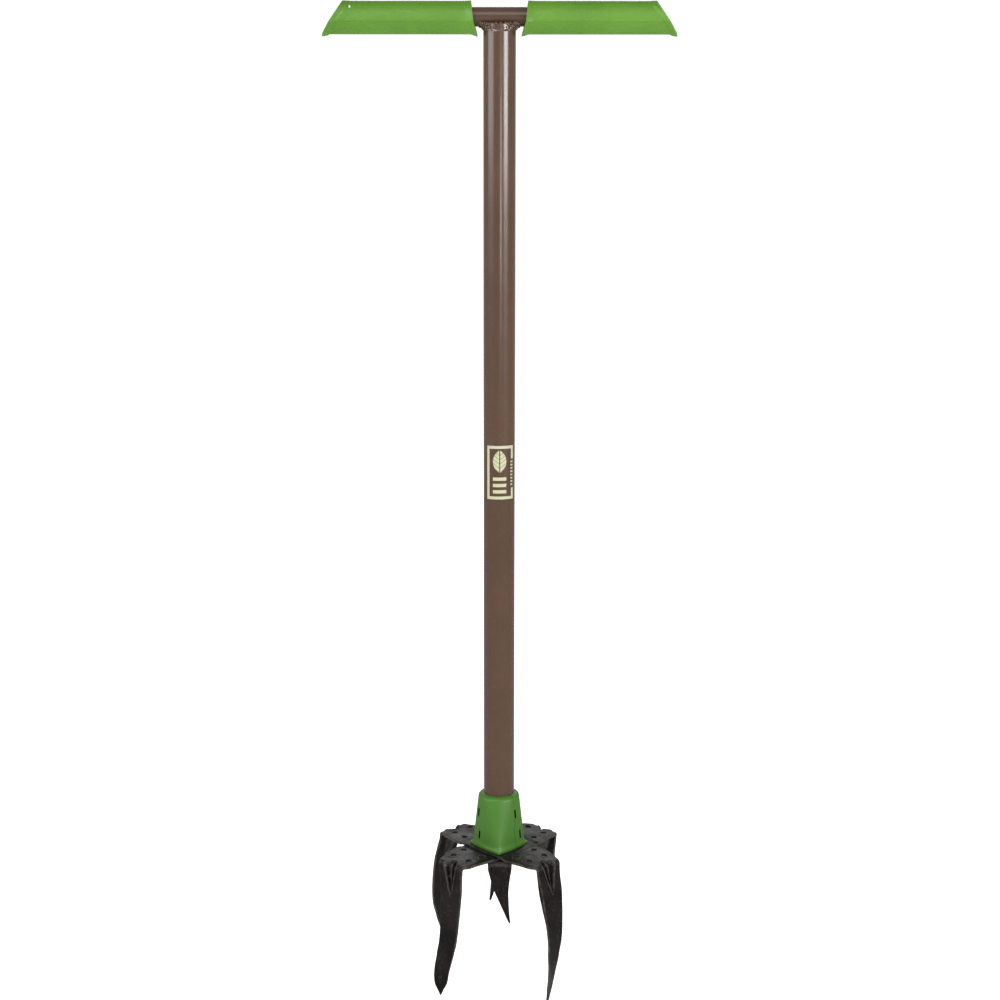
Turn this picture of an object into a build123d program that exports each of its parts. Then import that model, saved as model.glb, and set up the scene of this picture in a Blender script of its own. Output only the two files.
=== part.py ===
from build123d import *
from math import cos, pi, radians, sin
import os

# Stand-up twist tiller: T-handle, long tube shaft, stamped head with four twisted tines.
# The tine tips stand on Z = 0, the shaft's axis is Z and the handle lies along X. Millimetres.

# --- tine plates ---
plate_thickness = 2.8
plate_top = 151.0  # top face of the arms
strip_half_width = 26.0  # where the two plates cross
lower_reach = 72.0  # from the axis to the outer face of a tine
upper_reach = 73.3
pull_depth = 60.0  # by this depth the upper plate's tines have come in to the lower plate's line
bend_half_width = 16.2
arm_swell = (50.0, 23.6)  # a point on an arm's bowed edge: out along it, across it
bend_drop = 1.5  # how far an arm sinks towards its bend
bend_radius = 5.0
droop_start = 52.0
centre_step = plate_thickness / 2  # at the crossing one plate steps up by this and the other down
joggle_inner = 28.5
joggle_outer = 33.0
joggle_slant = 0.3  # the step's lower corners stand this far aside
tine_root_width = 33.0
tine_taper = 0.137  # width lost for each millimetre of depth
tip_width = 1.2
# stations down a tine: depth, lean outward, shift sideways, twist in degrees
tine_stations = [
    (11.0, 0.3, 0.7, 0.0),
    (41.0, 3.6, 3.9, 0.5),
    (74.0, 7.3, 4.6, 4.5),
    (101.0, 9.9, 1.5, 13.0),
    (123.0, 11.2, -2.6, 25.0),
    (133.0, 10.6, -4.1, 28.0),
]
tip_station = (8.4, -6.2, 31.0)  # lean, shift and twist at the tip
upper_tip_depth = plate_top
lower_tip_depth = 149.0
wide_bow = 4.0  # one tine stands bowed out further than the others
dimple_radius = 3.1
dimple_depth = 0.8
dimple_places = [(38.4, 13.4), (55.5, 11.2)]  # out along the arm, across it

# --- spike plate ---
spike_reach = 44.0
spike_bend_radius = 4.5
spike_root_width = 25.4
spike_offset = 0.9  # the whole plate sits this far to the right
# stations down a spike: depth, width, shift in X, distance from the axis, twist in degrees
spike_stations = [
    (8.0, 24.6, 0.0, 42.6, 0.0),
    (28.0, 16.2, 1.4, 40.8, 6.0),
    (44.0, 10.6, 4.4, 37.0, 18.0),
    (71.8, 1.2, 11.0, 30.0, 32.0),
]

# --- shaft and crossbar ---
shaft_radius = 31.75 / 2
shaft_wall = 1.6
crossbar_radius = 19.05 / 2
crossbar_wall = 1.5
crossbar_height = 1008.2
crossbar_half_length = 140.0
shaft_top_gap = 6.0  # the shaft's rim stops this far below the crossbar's axis
bead_half_length = 23.0
bead_half_depth = 13.0
bead_drop = 13.0
foot_bead_width = 1.8
foot_bead_height = 3.2

# --- grips, measured from the crossbar's axis ---
grip_top = 15.2
grip_bottom = 17.0
grip_half_depth = 15.0
grip_seam = -3.5  # widest line of a grip, where its two shells meet
rim_growth = 2.0
rim_top_share = 0.25  # the rims grow less at the top
inner_rim_band = 6.0
outer_rim_band = 7.5
inner_end = [(27.8, 20.0), (26.8, grip_seam), (20.0, -21.0)]
outer_end = [(173.2, -21.0), (173.0, -16.0), (165.8, -4.4), (149.0, 20.0)]
hang_hole_radius = 1.4
hang_hole_out = 145.6
hang_hole_up = 9.8

# --- collar ---
collar_height = 57.4
collar_wall = 2.4
collar_top_radius = 21.0
rim_radius = 16.4
rim_height = 4.2
collar_half_width = 27.4
collar_half_depth = 34.6
side_corner_radius = 2.0
front_corner_radius = 5.0
# the section part of the way up: height, half width, half depth, side and front corners
collar_waist = (32.0, 28.0, 30.2, 11.0, 6.0)
seam_angle = -45.0  # the halves meet in front of one side corner and behind the other
flange_half_width = 30.2
flange_half_depth = 36.0
flange_thickness = 2.0
hollow_inset_width = 4.0  # from the base's outline to its hollow
hollow_inset_depth = 4.6
hollow_corner_radius = 1.0
round_slack = 0.1  # the roundest corners stop this far short of a full round
slot_width = 1.4
slot_height = 9.5
slot_places = [(-21.1, 37.2), (-20.3, 13.2), (17.0, 37.6), (22.3, 12.8)]  # X, height above the base
slot_run = (4.0, 40.0)  # from and to this far in front of the axis

# --- label ---
label_bottom = 528.0
label_top = 584.8
label_half_angle = 55.0
label_turn = 4.8  # its middle is this far round to the right of the front
label_thickness = 0.2

# --- worked out from the above ---
centre_top = plate_top + centre_step
collar_top = centre_top + collar_height
spike_plate_top = plate_top - centre_step - plate_thickness
shaft_top = crossbar_height - shaft_top_gap

os.makedirs("parts", exist_ok=True)


def finish(builder, name):
    builder.part.label = name
    export_step(builder.part, f"parts/{name}.step")


# A point given outward along an arm and across it.
def along(angle, out, across=0.0, height=0.0):
    turn = radians(angle)
    x = out * cos(turn) - across * sin(turn)
    y = out * sin(turn) + across * cos(turn)
    return (x, y, height)


# The upright plane through the axis and an arm, seen square on.
def side_plane(angle, height):
    return Plane((0, 0, height), x_dir=along(angle, 1), z_dir=along(angle - 90, 1))


# The level plane of one blade section, with X along the blade's width.
def blade_plane(angle, reach, station, bow):
    depth, lean, shift, twist = station
    swell = bow * sin(pi * depth / plate_top)
    pull = (reach - lower_reach) * min(depth / pull_depth, 1)
    middle = reach - plate_thickness / 2 + lean + swell - pull
    origin = along(angle, middle, shift + swell, plate_top - depth)
    return Plane(origin, x_dir=along(angle + 90 + twist, 1), z_dir=(0, 0, 1))


# A strip across the head with a twisted tine bent down at each end.
def tine_plate(name, angle, reach, lift, tip_depth, far_bow):
    root_depth = tine_stations[0][0]
    inner_face = reach - plate_thickness
    slant = joggle_slant if lift < 0 else -joggle_slant
    upper_edge = [
        (reach, -root_depth),
        (reach, -bend_drop),
        (droop_start, 0),
        (joggle_outer, 0),
        (joggle_inner, lift),
    ]
    lower_edge = [
        (joggle_inner + slant, lift - plate_thickness),
        (joggle_outer + slant, -plate_thickness),
        (droop_start, -plate_thickness),
        (inner_face, -bend_drop - plate_thickness),
        (inner_face, -root_depth),
    ]
    far_upper_edge = [(-x, z) for x, z in reversed(upper_edge)]
    far_lower_edge = [(-x, z) for x, z in reversed(lower_edge)]
    with BuildPart() as plate:
        # the bent strip, drawn from its side
        with BuildSketch(side_plane(angle, plate_top)) as profile:
            with BuildLine():
                Polyline(upper_edge + far_upper_edge + far_lower_edge + lower_edge, close=True)
            make_face()
            columns = profile.vertices().group_by(Axis.X)
            outer_bends = [columns[i].sort_by(Axis.Y)[-1] for i in (0, -1)]
            inner_bends = [columns[i].sort_by(Axis.Y)[-1] for i in (1, -2)]
            fillet(outer_bends, bend_radius)
            fillet(inner_bends, bend_radius - plate_thickness)
        extrude(amount=1.2 * strip_half_width, both=True)
        # its tapered outline, drawn from above
        with BuildSketch(Plane.XY.offset(plate_top + centre_step).rotated((0, 0, angle))):
            with BuildLine():
                out, across = arm_swell
                for sign in (1, -1):
                    notch = (sign * strip_half_width, strip_half_width)
                    lower_notch = (sign * strip_half_width, -strip_half_width)
                    corner = (sign * reach, bend_half_width)
                    lower_corner = (sign * reach, -bend_half_width)
                    ThreePointArc(notch, (sign * out, across), corner)
                    Line(corner, lower_corner)
                    ThreePointArc(lower_corner, (sign * out, -across), lower_notch)
                for y in (strip_half_width, -strip_half_width):
                    Line((-strip_half_width, y), (strip_half_width, y))
            make_face()
        extrude(amount=-2 * root_depth, mode=Mode.INTERSECT)
        # the tines: a twisted blade, then its straight-sided point
        for arm_angle, bow in ((angle, 0.0), (angle + 180, far_bow)):
            for station in tine_stations:
                with BuildSketch(blade_plane(arm_angle, reach, station, bow)):
                    Rectangle(tine_root_width - tine_taper * station[0], plate_thickness)
            loft()
            shoulder = tine_stations[-1]
            with BuildSketch(blade_plane(arm_angle, reach, shoulder, bow)):
                Rectangle(tine_root_width - tine_taper * shoulder[0], plate_thickness)
            with BuildSketch(blade_plane(arm_angle, reach, (tip_depth, *tip_station), bow)):
                Rectangle(tip_width, plate_thickness * 0.6)
            loft(ruled=True)
            # round dimples pressed into the arm
            for out, across in dimple_places:
                sink = bend_drop * max(0, out - droop_start) / (reach - droop_start)
                height = plate_top - sink
                with Locations(along(arm_angle, out, across, height), along(arm_angle, out, -across, height)):
                    Cylinder(dimple_radius, 2 * dimple_depth, mode=Mode.SUBTRACT)
    finish(plate, name)


# The third plate, under the other two, with a short twisted spike at each end.
def spike_plate():
    root_depth = spike_stations[0][0]
    upper_edge = [(spike_reach, -root_depth), (spike_reach, 0)]
    lower_edge = [(x - plate_thickness, z - plate_thickness) for x, z in upper_edge[::-1]]
    lower_edge[-1] = (spike_reach - plate_thickness, -root_depth)
    far_upper_edge = [(-x, z) for x, z in reversed(upper_edge)]
    far_lower_edge = [(-x, z) for x, z in reversed(lower_edge)]
    with BuildPart() as plate:
        with BuildSketch(side_plane(90, spike_plate_top)) as profile:
            with BuildLine():
                Polyline(upper_edge + far_upper_edge + far_lower_edge + lower_edge, close=True)
            make_face()
            columns = profile.vertices().group_by(Axis.X)
            outer_bends = [columns[i].sort_by(Axis.Y)[-1] for i in (0, -1)]
            inner_bends = [columns[i].sort_by(Axis.Y)[-1] for i in (1, -2)]
            fillet(outer_bends, spike_bend_radius)
            fillet(inner_bends, spike_bend_radius - plate_thickness)
        extrude(amount=spike_root_width / 2, both=True)
        for turn in (0, 180):
            for depth, width, shift, out, twist in spike_stations:
                origin = along(turn, shift, -out, spike_plate_top - depth)
                level = Plane(origin, x_dir=along(turn + twist, 1), z_dir=(0, 0, 1))
                with BuildSketch(level):
                    Rectangle(width, plate_thickness if width > 2 else plate_thickness / 2)
            loft()
    plate.part = plate.part.moved(Location((spike_offset, 0, 0)))
    finish(plate, "spike_plate")


def shaft_tube():
    with BuildPart() as shaft:
        with BuildSketch(Plane.XY.offset(centre_top)):
            Circle(shaft_radius)
            Circle(shaft_radius - shaft_wall, mode=Mode.SUBTRACT)
        extrude(amount=shaft_top - centre_top)
        # the top is coped to the crossbar
        with BuildSketch(Plane.YZ.offset(-shaft_radius - 1)):
            with Locations((0, crossbar_height)):
                Circle(crossbar_radius)
        extrude(amount=2 * shaft_radius + 2, mode=Mode.SUBTRACT)
    finish(shaft, "shaft_tube")


def crossbar_tube():
    with BuildPart() as crossbar:
        with BuildSketch(Plane.YZ.offset(-crossbar_half_length)):
            with Locations((0, crossbar_height)):
                Circle(crossbar_radius)
                Circle(crossbar_radius - crossbar_wall, mode=Mode.SUBTRACT)
        extrude(amount=2 * crossbar_half_length)
    finish(crossbar, "crossbar_tube")


# The weld that closes the shaft's top round the crossbar.
def handle_weld():
    with BuildPart() as bead:
        with BuildSketch(Plane.XY.offset(crossbar_height - bead_drop)):
            Ellipse(shaft_radius + 0.6, shaft_radius + 0.6)
        with BuildSketch(Plane.XY.offset(crossbar_height - shaft_top_gap + 0.8)):
            Ellipse(bead_half_length, bead_half_depth)
        loft()
        # the shaft fills its lower part
        with Locations((0, 0, shaft_top - 10)):
            Cylinder(shaft_radius, 20, mode=Mode.SUBTRACT)
        with Locations((0, 0, crossbar_height)):
            Cylinder(crossbar_radius, 80, rotation=(0, 90, 0), mode=Mode.SUBTRACT)
    finish(bead, "handle_weld")


# The weld ring between the shaft's foot and the upper plate.
def foot_weld():
    with BuildPart() as bead:
        with BuildSketch(Plane.XZ):
            with BuildLine():
                foot = (shaft_radius, centre_top)
                top = (shaft_radius, centre_top + foot_bead_height)
                toe = (shaft_radius + foot_bead_width, centre_top)
                Line(toe, foot)
                Line(foot, top)
                RadiusArc(top, toe, 4.5)
            make_face()
        revolve(axis=Axis.Z)
    finish(bead, "foot_weld")


# One shell of a grip. side is 1 for +X and -1 for -X.
def grip_shell(name, side, upper):
    inner_band = [(x + inner_rim_band, z) for x, z in inner_end]
    outer_band = [(x - outer_rim_band, z) for x, z in outer_end]
    whole = inner_end + outer_end
    between = inner_band + outer_band
    with BuildPart() as shell:
        # rims at the two ends
        grip_section(side, rim_growth, whole)
        grip_section(side, rim_growth + 1, between, Mode.SUBTRACT)
        # the body between them
        grip_section(side, 0, between)
        with Locations((0, 0, crossbar_height)):
            Cylinder(crossbar_radius, 2 * crossbar_half_length, rotation=(0, 90, 0), mode=Mode.SUBTRACT)
        if side < 0 and upper:
            with Locations((-hang_hole_out, 0, crossbar_height + hang_hole_up)):
                Cylinder(hang_hole_radius, 60, rotation=(90, 0, 0), mode=Mode.SUBTRACT)
        # this shell's half, above or below the seam
        keep = Keep.TOP if upper else Keep.BOTTOM
        split(bisect_by=Plane.XY.offset(crossbar_height + grip_seam), keep=keep)
    finish(shell, name)


# The grip's section run along X, between the ends drawn from the front.
def grip_section(side, growth, outline, mode=Mode.ADD):
    half_depth = grip_half_depth + growth
    with BuildPart(mode=Mode.PRIVATE) as run:
        with BuildSketch(Plane.YZ.offset(side * 10)):
            with BuildLine():
                seam_height = crossbar_height + grip_seam
                top_rise = grip_top - grip_seam + rim_top_share * growth
                bottom_fall = grip_bottom + grip_seam + growth
                for rise, start in ((top_rise, 0), (bottom_fall, 180)):
                    EllipticalCenterArc((0, seam_height), half_depth, rise, start_angle=start, arc_size=180)
            make_face()
        extrude(amount=side * 170)
        with BuildSketch(Plane.XZ.offset(-30)):
            with BuildLine():
                Polyline([(side * x, crossbar_height + z) for x, z in outline], close=True)
            make_face()
        extrude(amount=60, mode=Mode.INTERSECT)
    add(run.part, mode=mode)


# A level rhombus with rounded corners; with large corners it is nearly a circle.
def collar_section(height, half_width, half_depth, side_corner, front_corner=None):
    with BuildSketch(Plane.XY.offset(height)) as section:
        with BuildLine():
            corners = [(half_width, 0), (0, half_depth), (-half_width, 0), (0, -half_depth)]
            Polyline(corners, close=True)
        make_face()
        columns = section.vertices().group_by(Axis.X)
        fillet([columns[0][0], columns[2][0]], side_corner)
        ends = section.vertices().sort_by(Axis.Y)
        fillet([ends[0], ends[-1]], front_corner or side_corner)
    return section.sketch


# One of the collar's two halves. turn is 0 for the front and 180 for the rear.
def collar_half(name, turn):
    round_reach = 2 ** 0.5 * collar_top_radius
    hollow_radius = collar_top_radius - collar_wall
    hollow_reach = 2 ** 0.5 * hollow_radius
    corners = (side_corner_radius, front_corner_radius)
    with BuildPart() as collar:
        # the outside, from the rhombus base up to the round rim
        add(collar_section(centre_top, collar_half_width, collar_half_depth, *corners))
        waist_height, *waist_shape = collar_waist
        add(collar_section(centre_top + waist_height, *waist_shape))
        add(collar_section(collar_top - rim_height, round_reach, round_reach, collar_top_radius - round_slack))
        loft()
        with Locations((0, 0, collar_top - rim_height / 2)):
            Cone(collar_top_radius - round_slack, rim_radius, rim_height)
        add(collar_section(centre_top, flange_half_width, flange_half_depth, *corners))
        extrude(amount=flange_thickness)
        # the hollow, closed in by the rim at the top
        inset_width = collar_half_width - hollow_inset_width
        inset_depth = collar_half_depth - hollow_inset_depth
        add(collar_section(centre_top, inset_width, inset_depth, hollow_corner_radius))
        hollow_top = collar_top - rim_height - collar_wall
        add(collar_section(hollow_top, hollow_reach, hollow_reach, hollow_radius - round_slack))
        loft(mode=Mode.SUBTRACT)
        with Locations((0, 0, collar_top)):
            Cylinder(shaft_radius, 20, mode=Mode.SUBTRACT)
        # slots that take the other half's hooks
        near, far = slot_run
        middle = (near + far) / 2
        for x, up in slot_places:
            with Locations((x, -middle, centre_top + up), (-x, middle, centre_top + up)):
                Box(slot_width, far - near, slot_height, mode=Mode.SUBTRACT)
        split(bisect_by=side_plane(seam_angle, 0), keep=Keep.TOP)
    collar.part = collar.part.rotate(Axis.Z, turn)
    finish(collar, name)


def shaft_label():
    reach = shaft_radius + label_thickness
    with BuildPart() as label:
        with BuildSketch(Plane.XY.offset(label_bottom)):
            Circle(reach)
            Circle(shaft_radius, mode=Mode.SUBTRACT)
            with BuildLine():
                left = along(label_turn - label_half_angle - 90, 2 * reach)[:2]
                right = along(label_turn + label_half_angle - 90, 2 * reach)[:2]
                Polyline((0, 0), left, (-2 * reach, -2 * reach), (2 * reach, -2 * reach), right, close=True)
            make_face(mode=Mode.INTERSECT)
        extrude(amount=label_top - label_bottom)
    finish(label, "shaft_label")


tine_plate("upper_tine_plate", -45, upper_reach, centre_step, upper_tip_depth, wide_bow)
tine_plate("lower_tine_plate", 45, lower_reach, -centre_step, lower_tip_depth, 0.0)
spike_plate()
shaft_tube()
crossbar_tube()
handle_weld()
foot_weld()
for side, word in ((-1, "left"), (1, "right")):
    grip_shell(f"{word}_grip_upper", side, True)
    grip_shell(f"{word}_grip_lower", side, False)
collar_half("collar_front", 0)
collar_half("collar_rear", 180)
shaft_label()
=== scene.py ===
from math import cos, pi, radians, sin

import bmesh
import bpy
from mathutils import Matrix, Vector


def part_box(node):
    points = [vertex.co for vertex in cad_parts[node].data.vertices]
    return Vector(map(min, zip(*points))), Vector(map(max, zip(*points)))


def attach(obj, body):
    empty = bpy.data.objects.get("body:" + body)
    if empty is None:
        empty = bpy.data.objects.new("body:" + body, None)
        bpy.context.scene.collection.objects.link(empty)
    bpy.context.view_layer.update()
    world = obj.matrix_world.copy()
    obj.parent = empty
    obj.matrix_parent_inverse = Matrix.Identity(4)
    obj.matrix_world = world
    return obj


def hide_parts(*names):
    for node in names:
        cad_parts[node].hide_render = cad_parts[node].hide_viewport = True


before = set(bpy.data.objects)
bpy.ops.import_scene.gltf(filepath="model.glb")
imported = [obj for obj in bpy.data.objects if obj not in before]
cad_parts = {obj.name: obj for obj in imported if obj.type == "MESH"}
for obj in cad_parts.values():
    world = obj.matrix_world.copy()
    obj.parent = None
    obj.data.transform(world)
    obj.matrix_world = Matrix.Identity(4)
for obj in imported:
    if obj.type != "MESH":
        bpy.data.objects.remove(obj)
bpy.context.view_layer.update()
mm = 0.001


class Wire:
    # one output socket, so that node maths reads as ordinary sums
    def __init__(self, board, socket):
        self.board = board
        self.socket = socket

    def maths(self, operation, *others):
        return self.board.add("ShaderNodeMath", {"operation": operation}, [self, *others])

    def __add__(self, other):
        return self.maths("ADD", other)

    def __radd__(self, other):
        return self.maths("ADD", other)

    def __sub__(self, other):
        return self.maths("SUBTRACT", other)

    def __rsub__(self, other):
        return self.board.add("ShaderNodeMath", {"operation": "SUBTRACT"}, [other, self])

    def __mul__(self, other):
        return self.maths("MULTIPLY", other)

    def __rmul__(self, other):
        return self.maths("MULTIPLY", other)

    def __truediv__(self, other):
        return self.maths("DIVIDE", other)

    def __neg__(self):
        return self.maths("MULTIPLY", -1.0)

    def __abs__(self):
        return self.maths("ABSOLUTE")

    def __pow__(self, power):
        return self.maths("POWER", power)

    def least(self, other):
        return self.maths("MINIMUM", other)

    def most(self, other):
        return self.maths("MAXIMUM", other)

    def sine(self):
        return self.maths("SINE")

    def cosine(self):
        return self.maths("COSINE")

    def rise(self, low, high):
        # 0 below low, 1 above high, smooth between them
        sockets = {"Value": self, "From Min": low, "From Max": high}
        return self.board.add("ShaderNodeMapRange", {"interpolation_type": "SMOOTHSTEP"}, sockets)

    def other(self, output):
        # another output of the same node
        return Wire(self.board, self.socket.node.outputs[output])


class Board:
    # a node tree that nodes are added to
    def __init__(self, tree):
        self.tree = tree

    def feed(self, socket, value):
        if isinstance(value, Wire):
            self.tree.links.new(value.socket, socket)
        else:
            socket.default_value = value

    def add(self, kind, settings=None, sockets=(), output=0):
        # settings come first, then the values or links of the sockets
        node = self.tree.nodes.new(kind)
        for name, value in (settings or {}).items():
            if name == "points":
                self.setPoints(node, value)
            else:
                setattr(node, name, value)
        pairs = sockets.items() if isinstance(sockets, dict) else enumerate(sockets)
        for key, value in pairs:
            self.feed(node.inputs[key], value)
        return Wire(self, node.outputs[output])

    def setPoints(self, node, places):
        points = node.mapping.curves[0].points
        points[0].location = places[0]
        points[-1].location = places[-1]
        for place in places[1:-1]:
            points.new(*place)
        node.mapping.update()

    def curve(self, along, stations):
        # a smooth curve through (place, value) stations
        places = [place for place, value in stations]
        values = [value for place, value in stations]
        low, high = min(values), max(values)
        span = places[-1] - places[0]
        points = [((place - places[0]) / span, (value - low) / (high - low)) for place, value in stations]
        share = (along - places[0]) / span
        height = self.add("ShaderNodeFloatCurve", {"points": points}, {"Value": share})
        return height * (high - low) + low

    def mixColour(self, factor, first, second):
        return self.add("ShaderNodeMix", {"data_type": "RGBA"}, {0: factor, 6: first, 7: second}, 2)

    def noise(self, place, scale, detail=3.0, roughness=0.5):
        return self.add("ShaderNodeTexNoise", {}, {"Vector": place, "Scale": scale, "Detail": detail,
                                                   "Roughness": roughness})


def shade(red, green, blue):
    return (red, green, blue, 1.0)


def newFinish(name):
    finish = bpy.data.materials.new(name)
    finish.use_nodes = True
    board = Board(finish.node_tree)
    surface = finish.node_tree.nodes["Principled BSDF"]
    place = board.add("ShaderNodeTexCoord", output=3)
    return finish, board, surface, place


brownPaint = {"base": (0.059, 0.0303, 0.0176), "warm": (0.067, 0.034, 0.0197), "speck": (0.22, 0.17, 0.14),
              "roughness": 0.18, "peel": 0.08, "coat": 0.25, "coatRoughness": 0.12}


def makeBrownPaint():
    finish, board, surface, place = newFinish("brownPowderCoat")
    cloud = board.noise(place, 14.0).rise(0.35, 0.65)
    colour = board.mixColour(cloud, shade(*brownPaint["base"]), shade(*brownPaint["warm"]))
    speck = board.noise(place, 900.0, 2.0).rise(0.62, 0.70)
    colour = board.mixColour(speck * 0.12, colour, shade(*brownPaint["speck"]))
    peel = board.noise(place, 420.0, 2.0)
    board.feed(surface.inputs["Base Color"], colour)
    roughness = brownPaint["roughness"] + 0.08 * board.noise(place, 60.0) + 0.04 * cloud
    board.feed(surface.inputs["Roughness"], roughness)
    relief = {"Height": peel, "Strength": brownPaint["peel"], "Distance": 0.0004}
    bump = board.add("ShaderNodeBump", {}, relief)
    board.feed(surface.inputs["Normal"], bump)
    surface.inputs["Coat Weight"].default_value = brownPaint["coat"]
    surface.inputs["Coat Roughness"].default_value = brownPaint["coatRoughness"]
    return finish


gripPlastic = {"base": (0.070, 0.188, 0.010), "pale": (0.088, 0.222, 0.013), "dark": (0.041, 0.118, 0.007),
               "grain": 900.0, "bump": 1.0, "roughness": 0.27}
# the lower shells' copy of the green plastic is darker: painted shade on the underside that faces away from
# the light
gripLowerShadedPlastic = {"base": (0.064, 0.170, 0.013), "pale": (0.080, 0.196, 0.016),
                    "dark": (0.040, 0.106, 0.009), "grain": 900.0, "bump": 1.0, "roughness": 0.30}
collarPlastic = {"base": (0.038, 0.130, 0.009), "pale": (0.047, 0.148, 0.011), "dark": (0.027, 0.094, 0.007),
                 "grain": 650.0, "bump": 0.12, "roughness": 0.38}
greenGloss = 0.42


def makeGreenPlastic(name, sizes):
    finish, board, surface, place = newFinish(name)
    cloud = board.noise(place, 22.0, 4.0).rise(0.3, 0.7)
    colour = board.mixColour(cloud, shade(*sizes["base"]), shade(*sizes["pale"]))
    cells = {"Vector": place, "Scale": sizes["grain"]}
    grain = board.add("ShaderNodeTexVoronoi", {"feature": "SMOOTH_F1"}, cells)
    ripple = board.noise(place, 190.0, 3.0)
    board.feed(surface.inputs["Base Color"], board.mixColour(grain * 0.3, colour, shade(*sizes["dark"])))
    board.feed(surface.inputs["Roughness"], sizes["roughness"] + 0.12 * ripple)
    height = grain * 0.35 + ripple * 0.65
    bump = board.add("ShaderNodeBump", {}, {"Height": height, "Strength": sizes["bump"], "Distance": 0.0006})
    board.feed(surface.inputs["Normal"], bump)
    surface.inputs["Specular IOR Level"].default_value = greenGloss
    return finish


# the scuff colour is scratches and dust, and also a painted highlight on rubbed edges; the hollow colour is
# painted shade
blackPaint = {"base": (0.0030, 0.0025, 0.0023), "brown": (0.0074, 0.0052, 0.0042),
              "scuffAndEdgeHighlight": (0.058, 0.050, 0.046), "hollow": (0.002, 0.002, 0.002),
              "edgeWearAndHighlight": 0.75, "roughness": 0.24, "bump": 0.42, "gloss": 0.20}


def makeBlackPaint():
    finish, board, surface, place = newFinish("blackStovePaint")
    patch = board.noise(place, 34.0, 5.0, 0.6).rise(0.38, 0.64)
    colour = board.mixColour(patch, shade(*blackPaint["base"]), shade(*blackPaint["brown"]))
    stretched = board.add("ShaderNodeMapping", {}, {"Vector": place, "Scale": (1.0, 1.0, 0.12)})
    scratch = board.noise(stretched, 520.0, 3.0).rise(0.62, 0.74)
    dust = board.noise(place, 300.0, 5.0, 0.7).rise(0.56, 0.72)
    colour = board.mixColour((scratch * 0.4).most(dust * 0.35), colour, shade(*blackPaint["scuffAndEdgeHighlight"]))
    # rubbed edges are paler, partly wear and partly painted highlight, and hollows darker with painted shade
    bend = board.add("ShaderNodeNewGeometry", output=7)
    rubbedEdgeWearAndHighlight = bend.rise(0.503, 0.535) * (0.35 + 0.65 * board.noise(place, 160.0, 3.0).rise(0.35, 0.6))
    colour = board.mixColour(rubbedEdgeWearAndHighlight * blackPaint["edgeWearAndHighlight"], colour, shade(*blackPaint["scuffAndEdgeHighlight"]))
    # painted shade: hollows found by pointiness are darkened
    colour = board.mixColour(1.0 - bend.rise(0.40, 0.485), colour, shade(*blackPaint["hollow"]))
    board.feed(surface.inputs["Base Color"], colour)
    roughness = blackPaint["roughness"] + 0.22 * patch + 0.16 * board.noise(place, 120.0, 3.0)
    board.feed(surface.inputs["Roughness"], roughness)
    # orange peel, over a slower hammered unevenness
    height = board.noise(place, 420.0, 3.0) + board.noise(place, 95.0, 3.0) * 2.2
    relief = {"Height": height, "Strength": blackPaint["bump"], "Distance": 0.0009}
    bump = board.add("ShaderNodeBump", {}, relief)
    board.feed(surface.inputs["Normal"], bump)
    surface.inputs["Specular IOR Level"].default_value = blackPaint["gloss"]
    return finish


# a plain printed band: a frame, a leaf and three bars, with no lettering
labelPrint = {"cream": (0.385, 0.385, 0.24), "radius": 16.0, "middle": 1.35,
              "halfWidth": 14.9, "stroke": 3.0, "bend": 1.4, "roughness": 0.33,
              "gapHalfHeight": 15.0, "gapUp": -1.0, "dashEvery": 3.4, "dashHalfHeight": 12.8,
              "leafUp": 11.5, "leafLength": 24.0, "leafWidth": 14.0, "motif": -0.9,
              "barsUp": (-6.6, -13.2, -19.8), "barHalfWidth": 7.0, "barHalfHeight": 1.7}


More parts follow.
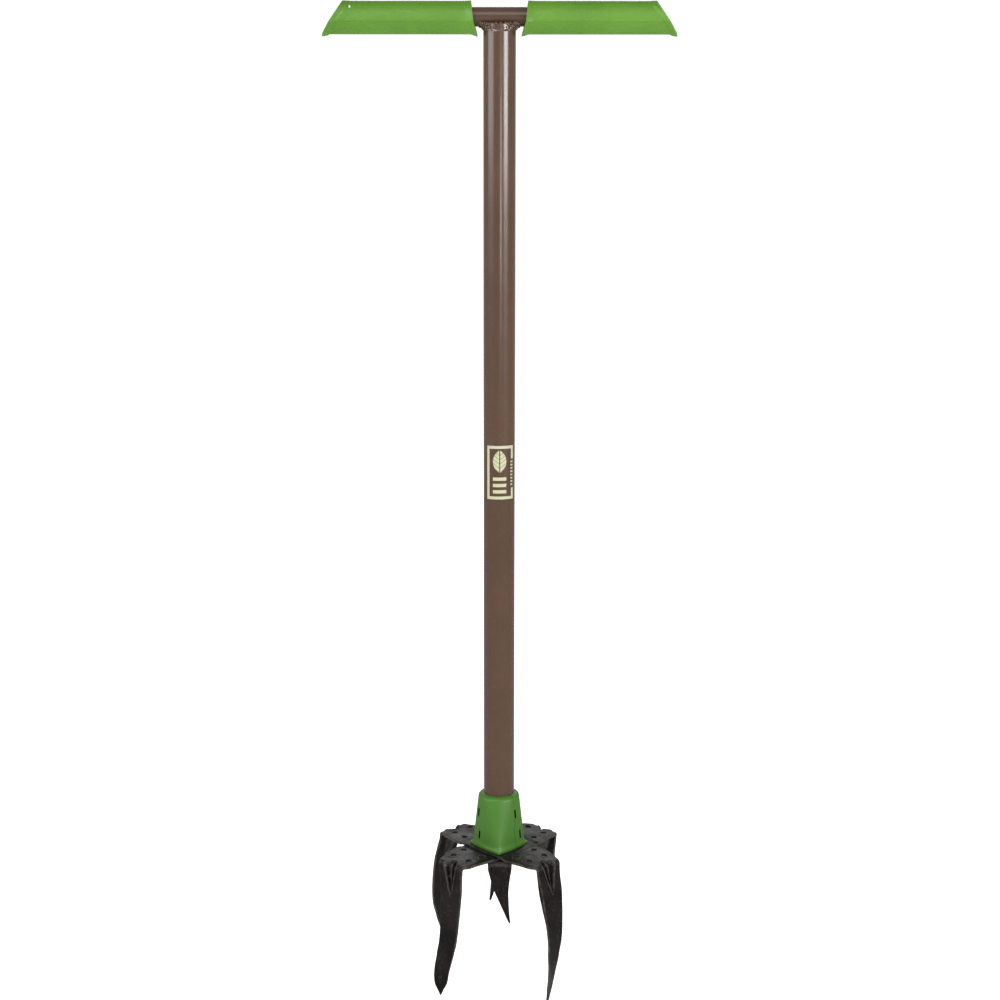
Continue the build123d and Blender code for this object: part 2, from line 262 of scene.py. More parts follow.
def makeLabelPrint(box):
    finish, board, surface, place = newFinish("labelPrint")
    split = board.add("ShaderNodeSeparateXYZ", sockets=[place])
    x, y, z = split, split.other(1), split.other(2)
    low, high = box[0].z / mm, box[1].z / mm
    across = x.maths("ARCTAN2", -y) * labelPrint["radius"] - labelPrint["middle"]
    # the lines sag a little towards the sides, so that they look straight from above
    sag = 1.0 - (across / labelPrint["radius"]).cosine()
    up = z * 1000.0 - (low + high) / 2 + (sag - 0.5) * labelPrint["bend"]
    halfHeight = (high - low) / 2 - labelPrint["bend"] * 0.5
    stroke, halfWidth = labelPrint["stroke"], labelPrint["halfWidth"]

    def panel(halfAcross, halfTall, middleAcross=0.0, middleUp=0.0):
        edge = (abs(across - middleAcross) - halfAcross).most(abs(up - middleUp) - halfTall)
        return 1.0 - edge.rise(-0.12, 0.12)

    outer = panel(halfWidth, halfHeight)
    inner = panel(halfWidth - stroke, halfHeight - stroke)
    gap = panel(stroke * 1.2, labelPrint["gapHalfHeight"], halfWidth, labelPrint["gapUp"])
    rule = outer * (1.0 - inner) * (1.0 - gap)
    # short dashes where the frame is broken
    ladder = (up * (2 * pi / labelPrint["dashEvery"])).sine().rise(-0.15, 0.2)
    dashes = ladder * panel(1.5, labelPrint["dashHalfHeight"], halfWidth - 2.2, labelPrint["gapUp"])
    rule = rule.most(dashes)
    # a pointed leaf with its midrib and veins left open
    middle = across - labelPrint["motif"]
    share = (up - labelPrint["leafUp"]) / labelPrint["leafLength"] * 2
    leafHalf = (1.0 - share * share).most(0.0) ** 0.9 * (labelPrint["leafWidth"] / 2)
    leaf = 1.0 - (abs(middle) - leafHalf).rise(-0.12, 0.12)
    veins = abs(((up - abs(middle) * 0.8) * (pi / 4.4)).sine()).rise(0.1, 0.24)
    leaf = leaf * abs(middle).rise(0.35, 0.65) * veins
    ink = rule.most(leaf)
    for barUp in labelPrint["barsUp"]:
        bar = panel(labelPrint["barHalfWidth"], labelPrint["barHalfHeight"], labelPrint["motif"], barUp)
        ink = ink.most(bar)
    wear = board.noise(place, 500.0, 3.0).rise(0.25, 0.45)
    mask = ink * (0.86 + 0.14 * wear)
    colour = board.mixColour(mask, shade(*brownPaint["base"]), shade(*labelPrint["cream"]))
    board.feed(surface.inputs["Base Color"], colour)
    board.feed(surface.inputs["Roughness"], labelPrint["roughness"] + 0.1 * mask)
    bump = board.add("ShaderNodeBump", {}, {"Height": mask, "Strength": 0.15, "Distance": 0.0002})
    board.feed(surface.inputs["Normal"], bump)
    return finish


paleFloor = {"grey": 0.88, "pale": 0.90, "roughness": 0.9, "glow": 0.72}


def makeFloorFinish():
    finish, board, surface, place = newFinish("paleFloor")
    cloud = board.noise(place, 3.0)
    colour = board.mixColour(cloud, shade(*[paleFloor["grey"]] * 3), shade(*[paleFloor["pale"]] * 3))
    board.feed(surface.inputs["Base Color"], colour)
    surface.inputs["Roughness"].default_value = paleFloor["roughness"]
    surface.inputs["Emission Color"].default_value = shade(1, 1, 1)
    surface.inputs["Emission Strength"].default_value = paleFloor["glow"]
    return finish


finishes = {
    "brown": makeBrownPaint(),
    "gripUpper": makeGreenPlastic("gripUpperPlastic", gripPlastic),
    "gripLowerShaded": makeGreenPlastic("gripLowerShadedPlastic", gripLowerShadedPlastic),
    "collar": makeGreenPlastic("collarPlastic", collarPlastic),
    "black": makeBlackPaint(),
    "label": makeLabelPrint(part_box("shaft_label")),
    "floor": makeFloorFinish(),
}
print("finishes made")


def newTree(name, inputs):
    # a geometry tree with named inputs; returns its board and the inputs as wires
    tree = bpy.data.node_groups.new(name, "GeometryNodeTree")
    tree.interface.new_socket("Geometry", in_out="OUTPUT", socket_type="NodeSocketGeometry")
    for label, value in inputs.items():
        kind = "NodeSocketMaterial" if label == "Finish" else "NodeSocketFloat"
        kind = "NodeSocketInt" if isinstance(value, int) else kind
        tree.interface.new_socket(label, in_out="INPUT", socket_type=kind)
    board = Board(tree)
    entry = tree.nodes.new("NodeGroupInput")
    wires = {label: Wire(board, entry.outputs[label]) for label in inputs}
    return tree, board, wires


def endTree(board, geometry, finish):
    solid = board.add("GeometryNodeRealizeInstances", {}, {"Geometry": geometry})
    solid = board.add("GeometryNodeSetMaterial", {}, {"Geometry": solid, "Material": finish})
    leave = board.tree.nodes.new("NodeGroupOutput")
    board.feed(leave.inputs[0], solid)


def runTree(name, tree, inputs, extras=None):
    # runs a tree on an empty mesh and keeps the result as a plain mesh
    piece = bpy.data.objects.new(name, bpy.data.meshes.new(name))
    bpy.context.scene.collection.objects.link(piece)
    modifier = piece.modifiers.new("shape", "NODES")
    modifier.node_group = tree
    for item in tree.interface.items_tree:
        if item.in_out == "INPUT":
            modifier[item.identifier] = inputs[item.name]
    if extras:
        extras(piece)
    return settle(piece)


def settle(piece):
    # the evaluated shape becomes the piece's own mesh, and its modifiers go
    graph = bpy.context.evaluated_depsgraph_get()
    graph.update()
    mesh = bpy.data.meshes.new_from_object(piece.evaluated_get(graph))
    piece.modifiers.clear()
    piece.data = mesh
    mesh.name = piece.name
    for face in mesh.polygons:
        face.use_smooth = True
    mesh.set_sharp_from_angle(angle=radians(38))
    return piece


def newPiece(name, points, faces, finish):
    mesh = bpy.data.meshes.new(name)
    mesh.from_pydata(points, [], faces)
    mesh.update()
    mesh.materials.append(finish)
    piece = bpy.data.objects.new(name, mesh)
    bpy.context.scene.collection.objects.link(piece)
    return piece


def addBevel(piece, width, segments=3, angle=35):
    bevel = piece.modifiers.new("edges", "BEVEL")
    bevel.width = width
    bevel.segments = segments
    bevel.limit_method = "ANGLE"
    bevel.angle_limit = radians(angle)


def cutWith(piece, cutter):
    cut = piece.modifiers.new("cut", "BOOLEAN")
    cut.operation = "DIFFERENCE"
    cut.solver = "EXACT"
    cut.object = cutter


def smoothShare(value, low, high):
    share = min(max((value - low) / (high - low), 0.0), 1.0)
    return share * share * (3 - 2 * share)


def stationValue(place, stations):
    # straight runs between (place, value) stations
    for (low, first), (high, second) in zip(stations, stations[1:]):
        if place <= high:
            return first + (second - first) * max(place - low, 0.0) / (high - low)
    return stations[-1][1]


def dress(piece, slot, *nodes):
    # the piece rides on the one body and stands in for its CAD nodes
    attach(piece, "root")
    if nodes:
        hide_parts(*nodes)


# The outer face of a bent, pressed and twisted strip. Sizes in millimetres.
# Stations run along the strip, from the axis, over the bend and down the blade.
tinePlate = {
    "bendRadius": 5.0, "drop": 1.5, "droopStart": 50.0, "thickness": 2.8,
    "joggle": (28.5, 34.0), "edgeRoll": 0.9,
    "halfWidth": [(0, 26.0), (26, 26.0), (38, 25.4), (50, 23.6), (62, 20.4), (72, 16.6), (78, 15.8),
                  (110, 13.6), (142, 11.4), (170, 9.6), (193, 7.9), (202, 7.0), (212, 3.2), (218.7, 0.5)],
    "lean": [(0, 0), (72, 0), (80, 0.3), (108.6, 3.6), (141.6, 7.1), (168.6, 9.3), (190.6, 10.45),
             (200.6, 9.95), (218.7, 8.1)],
    "shift": [(0, 0), (66, 0), (80, 0.7), (108.6, 3.9), (141.6, 4.6), (168.6, 1.5), (190.6, -2.6),
              (200.6, -4.1), (218.7, -6.2)],
    "twist": [(0, 0), (108.6, 0.5), (141.6, 4.5), (168.6, 13.0), (190.6, 25.0), (200.6, 28.0),
              (218.7, 31.0)],
    "dimples": [(38.4, 13.4), (55.5, 11.2)], "dimpleRadius": 2.4, "dimpleDepth": 1.2,
    "gusset": {"start": 60.0, "middle": 71.5, "end": 106.0, "halfWidth": 8.6, "depth": 5.4},
    "edge": 0.45, "along": 440, "across": 64,
}
spikePlate = {
    "bendRadius": 4.5, "drop": 0.0, "droopStart": 30.0, "thickness": 2.8,
    "joggle": (28.5, 34.0), "edgeRoll": 0.5,
    "halfWidth": [(0, 12.6), (40, 12.6), (48, 12.4), (56, 11.0), (71, 8.1), (87, 5.2), (103, 2.4),
                  (115.0, 0.5)],
    "lean": [(0, 0), (46, 0), (54, -0.2), (70.6, -1.8), (86.6, -5.6), (115.0, -12.6)],
    "shift": [(0, 0), (50, 0), (70.6, 1.4), (86.6, 4.4), (115.0, 11.0)],
    "twist": [(0, 0), (50, 0), (70.6, 6.0), (86.6, 18.0), (115.0, 32.0)],
    "dimples": [], "dimpleRadius": 2.4, "dimpleDepth": 1.0,
    "gusset": None, "edge": 0.45, "along": 220, "across": 24,
}

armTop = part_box("upper_tine_plate")[1].z / mm - tinePlate["thickness"] / 2
# bow swings the far tine outwards, and edgeLift raises the rear edge of one arm
plateJobs = {
    "upperTines": {
        "sizes": tinePlate, "node": "upper_tine_plate", "angle": -45, "reach": 73.3, "pull": 1.3,
        "offset": 0.0, "top": armTop, "lift": 1.4, "fallShare": 1.0125, "bow": 4.0, "edgeLift": 0.0},
    "lowerTines": {
        "sizes": tinePlate, "node": "lower_tine_plate", "angle": 45, "reach": 72.0, "pull": 0.0,
        "offset": 0.0, "top": armTop, "lift": -1.4, "fallShare": 0.99, "bow": 0.0, "edgeLift": 2.2},
    "centreSpikes": {
        "sizes": spikePlate, "node": "spike_plate", "angle": -90, "reach": 44.0, "pull": 0.0,
        "offset": 0.9, "top": armTop - 4.2, "lift": 0.0, "fallShare": 1.0, "bow": 0.0, "edgeLift": 0.0},
}


def plateTree(name, sizes):
    inputs = {"Arm angle": 0.0, "Reach": 0.0, "Pull": 0.0, "Offset": 0.0, "Top height": 0.0, "Lift": 0.0,
              "Fall share": 1.0, "Far bow": 0.0, "Edge lift": 0.0, "Finish": None}
    tree, board, given = newTree(name, inputs)
    length = sizes["halfWidth"][-1][0]
    grid = board.add("GeometryNodeMeshGrid", {}, {
        "Size X": 2 * length, "Size Y": 2.0,
        "Vertices X": sizes["along"], "Vertices Y": sizes["across"]})
    here = board.add("ShaderNodeSeparateXYZ", sockets=[board.add("GeometryNodeInputPosition")])
    side = here.maths("SIGN")
    run = abs(here)
    share = here.other(1)

    # the bend
    flat = given["Reach"] - sizes["bendRadius"]
    bend = ((run - flat) / sizes["bendRadius"]).most(0.0).least(pi / 2)
    fall = (run - (flat + sizes["bendRadius"] * pi / 2)).most(0.0) * given["Fall share"]
    out = run.least(flat) + bend.sine() * sizes["bendRadius"]
    sink = run.rise(sizes["droopStart"], flat) * sizes["drop"]
    joggle = 1.0 - run.rise(*sizes["joggle"])
    onArm = 1.0 - run.rise(flat - 6, flat + 3)
    roll = abs(share).rise(0.78, 1.05) * sizes["edgeRoll"] * onArm
    height = joggle * given["Lift"] - sink - (1.0 - bend.cosine()) * sizes["bendRadius"] - fall - roll

    # the outline, and how far each place stands across the strip
    halfWidth = board.curve(run, sizes["halfWidth"])
    across = side * share * halfWidth
    # one arm's rear edge stands up a little
    swell = (1.0 - abs(run - 59.0).rise(1.0, 11.0)) * share.rise(0.35, 0.9) * side.most(0.0)
    height = height + swell * given["Edge lift"]

    # round dimples: a ring pressed down round a raised middle
    press = run * 0.0
    for dimpleOut, dimpleAcross in sizes["dimples"]:
        away = ((run - dimpleOut) ** 2 + (abs(across) - dimpleAcross) ** 2) ** 0.5
        ring = 1.0 - abs(away - sizes["dimpleRadius"] * 0.62).rise(0.5, 2.0)
        rim = 1.0 - abs(away - sizes["dimpleRadius"] * 1.75).rise(0.2, 1.3)
        press = press + ring * sizes["dimpleDepth"] - rim * 0.4
    # a V pressed into each bend, with a ridge down its middle
    gusset = sizes["gusset"]
    if gusset:
        closing = (gusset["end"] - run) / (gusset["end"] - gusset["middle"])
        opening = run.rise(gusset["start"], gusset["middle"]).least(closing).most(0.0)
        reachAcross = opening * gusset["halfWidth"] + 0.01
        inward = (1.0 - abs(across) / reachAcross).most(0.0)
        valley = inward.rise(0.0, 0.34) - inward.rise(0.52, 1.0) * 0.75
        lip = (1.0 - abs(abs(across) - reachAcross - 0.8).rise(0.0, 1.7)) * opening.rise(0.05, 0.3)
        press = press + valley * opening ** 0.6 * gusset["depth"] - lip

    # the blade leans, shifts, bows and twists as it falls
    depth = fall + sizes["bendRadius"]
    bow = (1.0 - side) * 0.5 * given["Far bow"] * (depth * (pi / 151.0)).sine() * fall.rise(0.0, 12.0)
    twist = board.curve(run, [(where, radians(turn)) for where, turn in sizes["twist"]])
    lean = board.curve(run, sizes["lean"]) + bow - run.rise(72.0, 132.0) * given["Pull"]
    shift = board.curve(run, sizes["shift"]) + bow
    outNow = out + lean - across * twist.sine() - press * bend.sine()
    acrossNow = across * twist.cosine() + shift
    upNow = height - press * bend.cosine() + given["Top height"]
    turnCos, turnSin = given["Arm angle"].cosine(), given["Arm angle"].sine()
    x = side * (outNow * turnCos - acrossNow * turnSin) + given["Offset"]
    y = side * (outNow * turnSin + acrossNow * turnCos)
    spot = board.add("ShaderNodeCombineXYZ", sockets=[x * mm, y * mm, upNow * mm])
    strip = board.add("GeometryNodeSetPosition", {}, {"Geometry": grid, "Position": spot})
    endTree(board, strip, given["Finish"])
    return tree


def thicken(sizes):
    def extras(piece):
        sheet = piece.modifiers.new("sheet", "SOLIDIFY")
        sheet.thickness = sizes["thickness"] * mm
        sheet.offset = -1.0
        sheet.use_even_offset = False
        addBevel(piece, sizes["edge"] * mm, 2, 50)
    return extras


def makePlates():
    tineTree = plateTree("tinePlateShape", tinePlate)
    spikeTree = plateTree("spikePlateShape", spikePlate)
    for name, job in plateJobs.items():
        tree = tineTree if job["sizes"] is tinePlate else spikeTree
        inputs = {"Arm angle": radians(job["angle"]), "Reach": job["reach"], "Pull": job["pull"],
                  "Offset": job["offset"], "Top height": job["top"], "Lift": job["lift"],
                  "Fall share": job["fallShare"], "Far bow": job["bow"], "Edge lift": job["edgeLift"],
                  "Finish": finishes["black"]}
        piece = runTree(name, tree, inputs, thicken(job["sizes"]))
        dress(piece, "black_paint", job["node"])
        print("plate made:", name, len(piece.data.polygons), "faces")


makePlates()


# two rows of ripples, one where the weld meets the crossbar and one lower on its slope
weldRows = {
    "handleWeldUpper": {"Half length": 22.6, "Half depth": 13.3, "Drop": 6.2, "Ripple": 2.0,
                        "Spacing": 2.3, "Seed": 7},
    "handleWeldLower": {"Half length": 19.0, "Half depth": 14.7, "Drop": 9.6, "Ripple": 1.7,
                        "Spacing": 2.9, "Seed": 3},
}
rippleStray = 0.9  # how far a ripple may stand above or below its row
rippleSizes = (0.62, 1.25)


def weldTree():
    inputs = {**weldRows["handleWeldUpper"], "Height": 0.0, "Finish": None}
    tree, board, given = newTree("weldRipples", inputs)
    ring = board.add("GeometryNodeCurvePrimitiveCircle", {}, {"Resolution": 160, "Radius": 1.0})
    here = board.add("ShaderNodeSeparateXYZ", sockets=[board.add("GeometryNodeInputPosition")])
    # the bead climbs at its two ends, where it runs up the crossbar's sides
    climb = abs(here) ** 6.0 * 1.2
    spot = board.add("ShaderNodeCombineXYZ", sockets=[
        here * given["Half length"] * mm,
        here.other(1) * given["Half depth"] * mm,
        (given["Height"] - given["Drop"] + climb) * mm])
    bead = board.add("GeometryNodeSetPosition", {}, {"Geometry": ring, "Position": spot})
    spacing = given["Spacing"] * mm
    points = board.add("GeometryNodeCurveToPoints", {"mode": "LENGTH"}, {"Curve": bead, "Length": spacing})
    turn = points.other("Rotation")
    stray = board.add("FunctionNodeRandomValue", {"data_type": "FLOAT"},
                      {2: -rippleStray, 3: rippleStray, "Seed": given["Seed"] + 1}, 1)
    offset = board.add("ShaderNodeCombineXYZ", sockets=[0.0, 0.0, stray * mm])
    points = board.add("GeometryNodeSetPosition", {}, {"Geometry": points, "Offset": offset})
    blob = board.add("GeometryNodeMeshIcoSphere", {}, {"Radius": given["Ripple"] * mm, "Subdivisions": 3})
    size = board.add("FunctionNodeRandomValue", {"data_type": "FLOAT"},
                     {2: rippleSizes[0], 3: rippleSizes[1], "Seed": given["Seed"]}, 1)
    flat = board.add("ShaderNodeCombineXYZ", sockets=[size, size, size * 0.8])
    ripples = board.add("GeometryNodeInstanceOnPoints", {},
                        {"Points": points, "Instance": blob, "Rotation": turn, "Scale": flat})
    endTree(board, ripples, given["Finish"])
    return tree


def makeWelds():
    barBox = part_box("crossbar_tube")
    middle = (barBox[0].z + barBox[1].z) / 2 / mm
    tree = weldTree()
    for name, row in weldRows.items():
        piece = runTree(name, tree, {**row, "Height": middle, "Finish": finishes["brown"]})
        dress(piece, "brown_paint")
    print("weld ripples made")


makeWelds()


# Heights and reaches in millimetres from the crossbar's axis.
grip = {
    "top": 15.2, "bottom": -17.0, "seam": -3.5, "halfDepth": 15.0, "crease": 17.0, "seamGap": 0.015,
    "innerEnd": [(-19.0, 20.6), (-3.5, 25.4), (15.7, 27.8)],
    "outerEnd": [(-19.0, 173.0), (-14.0, 172.0), (-4.4, 165.8), (15.7, 151.9)],
    "rim": 2.0, "innerFlare": 8.0, "outerBand": 7.5, "outerStep": 1.8,
    "holeOut": 145.6, "holeUp": 9.8, "holeRadius": 1.4, "edge": 0.22,
}


def gripGrowth(fromInner, fromOuter):
    inner = 1 - smoothShare(fromInner, 0.0, grip["innerFlare"])
    outer = 1 - smoothShare(fromOuter, grip["outerBand"] - grip["outerStep"], grip["outerBand"])
    fade = 0.45 + 0.55 * (1 - smoothShare(fromOuter, 0.0, grip["outerBand"]))
    return grip["rim"] * max(inner, outer * fade)


def gripPoint(side, share, turn, middle):
    # share runs from the inner end to the outer; turn runs round the section from the seam
    upper = sin(turn) >= -1e-9 and turn <= pi
    rise = (grip["top"] - grip["seam"]) if upper else (grip["seam"] - grip["bottom"])
    lead = radians(grip["crease"])
    local = lead + (turn if upper else turn - pi) * (pi - 2 * lead) / pi
    wide = cos(local) / cos(lead)
    tall = (sin(local) - sin(lead)) / (1 - sin(lead))
    height = grip["seam"] + rise * tall if upper else grip["seam"] - rise * tall
    innerX = stationValue(height, grip["innerEnd"])
    outerX = stationValue(height, grip["outerEnd"])
    x = innerX + (outerX - innerX) * share
    growth = gripGrowth(x - innerX, outerX - x)
    y = (grip["halfDepth"] + growth) * (wide if upper else -wide)
    lift = growth * 0.22 if upper else -growth
    z = height + lift * tall
    gap = grip["seamGap"] if upper else -grip["seamGap"]
    return (side * x * mm, y * mm, (middle + z + gap * (1 - smoothShare(tall, 0.0, 0.12))) * mm)


def gripShares():
    # closer sections near the ends, where the rims are
    ends = [0.06 * (i / 22) for i in range(22)]
    body = [0.06 + 0.84 * (i / 40) for i in range(40)]
    outer = [0.90 + 0.10 * (i / 34) for i in range(35)]
    return ends + body + outer


def makeGripShell(name, node, side, upper, middle):
    shares = gripShares()
    steps = 40
    start = 0.0 if upper else pi
    turns = [start + pi * i / steps for i in range(steps + 1)]
    if not upper:
        turns[0] += 1e-6
    points = [gripPoint(side, share, turn, middle) for share in shares for turn in turns]
    ring = len(turns)
    faces = []
    for row in range(len(shares) - 1):
        for i in range(ring):
            j = (i + 1) % ring
            quad = [row * ring + i, row * ring + j, (row + 1) * ring + j, (row + 1) * ring + i]
            faces.append(quad)
    faces.append(list(range(ring))[::-1])
    last = (len(shares) - 1) * ring
    faces.append([last + i for i in range(ring)])
    if side > 0:
        faces = [face[::-1] for face in faces]
    piece = newPiece(name, points, faces, finishes["gripUpper" if upper else "gripLowerShaded"])
    faceOutwards(piece)
    cutter = holeCutter(middle) if side < 0 and upper else None
    if cutter:
        cutWith(piece, cutter)
    addBevel(piece, grip["edge"] * mm, 2, 50)
    settle(piece)
    if cutter:
        bpy.data.objects.remove(cutter)
    dress(piece, "green_plastic", node)


def holeCutter(middle):
    steps = 32
    points = []
    for y in (-0.04, 0.04):
        for i in range(steps):
            turn = 2 * pi * i / steps
            x = -grip["holeOut"] + grip["holeRadius"] * cos(turn)
            z = middle + grip["holeUp"] + grip["holeRadius"] * sin(turn)
            points.append((x * mm, y, z * mm))
    faces = [[i, (i + 1) % steps, steps + (i + 1) % steps, steps + i] for i in range(steps)]
    faces += [list(range(steps))[::-1], [steps + i for i in range(steps)]]
    cutter = newPiece("holeCutter", points, faces, finishes["gripUpper"])
    faceOutwards(cutter)
    return cutter


def faceOutwards(piece):
    work = bmesh.new()
    work.from_mesh(piece.data)
    bmesh.ops.remove_doubles(work, verts=work.verts, dist=1e-6)
    bmesh.ops.recalc_face_normals(work, faces=work.faces)
    work.to_mesh(piece.data)
    work.free()


def makeGrips():
    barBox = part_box("crossbar_tube")
    middle = (barBox[0].z + barBox[1].z) / 2 / mm
    for side, word in ((-1, "left"), (1, "right")):
        for upper, half in ((True, "Upper"), (False, "Lower")):
            makeGripShell(f"{word}Grip{half}", f"{word}_grip_{half.lower()}", side, upper, middle)
    print("grips made")


makeGrips()


collar = {
    "baseWidth": 27.4, "baseDepth": 33.8, "topRadius": 21.1, "baseSquare": 1.26, "wall": 2.2,
    "flangeWidth": 30.2, "flangeDepth": 34.9, "flangeSquare": 1.15, "flangeHeight": 2.0, "flare": 1.2,
    "rimHeight": 4.2, "rimIn": 4.8, "seam": -45.0, "seamGap": 0.3, "slotLean": 0.07, "rearInset": 0.25,
    "slots": [(-21.1, 37.2), (-20.4, 13.4), (17.0, 37.6), (22.2, 12.8)],
    "slotWidth": 1.5, "slotHeight": 9.5, "edge": 0.35,
}


def ovalReach(turn, halfWidth, halfDepth, power):
    return (abs(cos(turn) / halfWidth) ** power + abs(sin(turn) / halfDepth) ** power) ** (-1 / power)


def collarReach(up, height, turn):
    # how far the wall stands from the axis, between the rhombus foot and the round rim
    if up < collar["flangeHeight"]:
        return ovalReach(turn, collar["flangeWidth"], collar["flangeDepth"], collar["flangeSquare"])
    share = up / height
    blend = smoothShare(share, 0.0, 1.0)
    power = collar["baseSquare"] + (2.0 - collar["baseSquare"]) * blend
    halfWidth = collar["baseWidth"] + (collar["topRadius"] - collar["baseWidth"]) * share
    halfDepth = collar["baseDepth"] + (collar["topRadius"] - collar["baseDepth"]) * share
    flare = collar["flare"] * (1 - smoothShare(up, collar["flangeHeight"], 8.0)) ** 2
    # the shoulder rounds over to the rim
    over = min(max(up - (height - collar["rimHeight"]), 0.0) / collar["rimHeight"], 1.0)
    rounded = collar["rimIn"] * (1 - (1 - over * over) ** 0.5)
    return ovalReach(turn, halfWidth, halfDepth, power) + flare - rounded


def collarHeights(height):
    foot = [0.0, 0.8, 1.5, 1.98, 2.02, 2.6, 3.4, 4.5, 6.0, 8.0]
    rimStart = height - collar["rimHeight"]
    body = [8.0 + (rimStart - 8.0) * i / 34 for i in range(1, 35)]
    rim = [rimStart + collar["rimHeight"] * sin(pi / 2 * i / 8) for i in range(1, 9)]
    return foot + body + rim


def makeCollarHalf(name, node, rear, base, top):
    steps = 120
    heights = collarHeights(top - base)
    seam = radians(collar["seam"])
    points = []
    for up in heights:
        for i in range(steps + 1):
            turn = seam - pi + pi * i / steps
            reach = collarReach(up, top - base, turn)
            turn += collar["seamGap"] / reach * (1 - 2 * i / steps)
            if rear:
                # the rear half slips just inside the front one
                reach -= collar["rearInset"]
                turn += pi
            points.append((reach * cos(turn) * mm, reach * sin(turn) * mm, (base + up) * mm))
    inner = []
    ring = steps + 1
    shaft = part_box("shaft_tube")[1].x + 0.05 * mm
    for row, up in enumerate(heights):
        for i in range(ring):
            x, y, z = points[row * ring + i]
            length = (x * x + y * y) ** 0.5
            wall = collar["wall"] * mm
            target = length - wall * (1.0 if up > collar["flangeHeight"] else 2.2)
            if up > top - base - collar["rimHeight"]:
                target = shaft
            target = max(target, shaft)
            inner.append((x / length * target, y / length * target, z))
    count = len(points)
    points += inner
    faces = []
    for row in range(len(heights) - 1):
        for i in range(steps):
            a = row * ring + i
            b = a + 1
            c = b + ring
            d = a + ring
            faces.append([a, b, c, d])
            faces.append([count + a, count + d, count + c, count + b])
        for i in (0, steps):
            a = row * ring + i
            faces.append([a, a + ring, count + a + ring, count + a])
    for row in (0, len(heights) - 1):
        for i in range(steps):
            a = row * ring + i
            faces.append([a, count + a, count + a + 1, a + 1])
    piece = newPiece(name, points, faces, finishes["collar"])
    faceOutwards(piece)
    cutter = slotCutter(base)
    cutWith(piece, cutter)
    addBevel(piece, collar["edge"] * mm, 2, 45)
    settle(piece)
    bpy.data.objects.remove(cutter)
    dress(piece, "collar_plastic", node)


def slotCutter(base):
    points = []
    faces = []
    for x, up in collar["slots"]:
        for sign in (1, -1):
            first = len(points)
            halfWidth, halfTall = collar["slotWidth"] / 2, collar["slotHeight"] / 2
            for dx in (-halfWidth, halfWidth):
                for y in (-4.0, -40.0):
                    for dz in (-halfTall, halfTall):
                        # each slot leans with the wall it is cut in
                        lean = -dz * collar["slotLean"] * (1 if x > 0 else -1)
                        points.append((sign * (x + dx + lean) * mm, sign * y * mm, (base + up + dz) * mm))
            for quad in ((0, 1, 3, 2), (4, 6, 7, 5), (0, 4, 5, 1), (2, 3, 7, 6), (0, 2, 6, 4), (1, 5, 7, 3)):
                faces.append([first + corner for corner in quad])
    cutter = newPiece("slotCutter", points, faces, finishes["collar"])
    faceOutwards(cutter)
    return cutter


def makeCollar():
    low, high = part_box("collar_front")
    for name, node, rear in (("collarFront", "collar_front", False), ("collarRear", "collar_rear", True)):
        makeCollarHalf(name, node, rear, low.z / mm, high.z / mm)
    print("collar made")


makeCollar()

# the tubes, welds and label carried over from the CAD only take a finish
for node, finish in (("shaft_tube", "brown"), ("crossbar_tube", "brown"), ("handle_weld", "brown"),
                     ("foot_weld", "brown"), ("shaft_label", "label")):
    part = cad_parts[node]
    part.data.materials.clear()
    part.data.materials.append(finishes[finish])
print("tubes finished")


studio = {"floorHalf": 60.0, "world": 0.38, "pitch": 14.0, "distance": 2.393, "height": 1.1215,
          "lens": 87.16, "roll": -0.05, "shift": 0.0008}
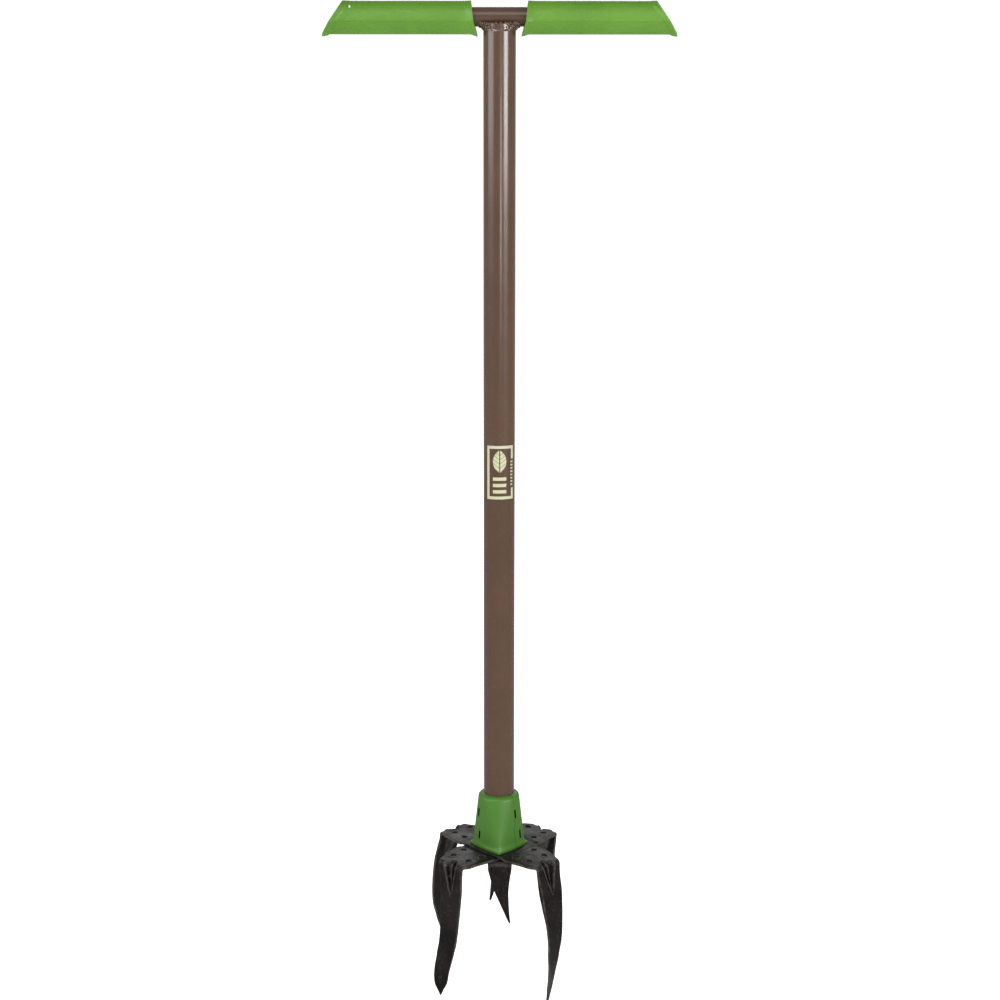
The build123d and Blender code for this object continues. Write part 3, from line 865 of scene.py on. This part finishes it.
# where each lamp stands, what it points at, its width, its height and its power
lamps = {
    "rightStrip": ((1.68, -1.66, 1.0), (0, 0, 0.9), 1.15, 0.8, 40),
    "leftSoft": ((-2.2, -1.0, 1.1), (0, 0, 0.9), 1.9, 0.95, 24),
    "frontCard": ((0.36, -1.96, 0.62), (0, 0, 0.8), 0.24, 0.3, 2.6),
    "highKey": ((-1.5, -1.9, 2.8), (0, 0, 0.6), 1.5, 1.2, 36),
    "topBand": ((0.25, -2.0, 2.75), (0, 0, 0.9), 1.7, 1.5, 13),
    "backRim": ((0.2, 2.6, 1.75), (0, 0, 0.2), 2.6, 1.1, 20),
}


def makeFloor():
    half = studio["floorHalf"]
    points = [(-half, -half, 0), (half, -half, 0), (half, half, 0), (-half, half, 0)]
    floor = newPiece("studioFloor", points, [[0, 1, 2, 3]], finishes["floor"])
    floor.visible_glossy = False


def makeLamp(name, spot, target, width, height, power):
    lamp = bpy.data.lights.new(name, "AREA")
    lamp.shape = "RECTANGLE"
    lamp.size, lamp.size_y = width, height
    lamp.energy = power
    holder = bpy.data.objects.new(name, lamp)
    holder.location = spot
    holder.rotation_euler = (Vector(target) - Vector(spot)).to_track_quat("-Z", "Y").to_euler()
    bpy.context.scene.collection.objects.link(holder)


def makeWorld():
    world = bpy.data.worlds.new("studioWorld")
    world.use_nodes = True
    backdrop = world.node_tree.nodes["Background"]
    backdrop.inputs["Color"].default_value = shade(1, 1, 1)
    backdrop.inputs["Strength"].default_value = studio["world"]
    bpy.context.scene.world = world


def makeCamera():
    camera = bpy.data.cameras.new("studioCamera")
    camera.sensor_width = 36
    camera.lens = studio["lens"]
    camera.shift_x = studio["shift"]
    camera.clip_end = 200
    holder = bpy.data.objects.new("studioCamera", camera)
    holder.location = (0, -studio["distance"], studio["height"])
    tilt = Matrix.Rotation(radians(90 - studio["pitch"]), 4, "X")
    roll = Matrix.Rotation(radians(-studio["roll"]), 4, "Z")
    holder.rotation_euler = (tilt @ roll).to_euler()
    bpy.context.scene.collection.objects.link(holder)
    bpy.context.scene.camera = holder


def makeStudio():
    makeFloor()
    makeWorld()
    for name, lamp in lamps.items():
        makeLamp(name, *lamp)
    makeCamera()
    bpy.context.scene.view_settings.view_transform = "Standard"


makeStudio()
print("studio made")
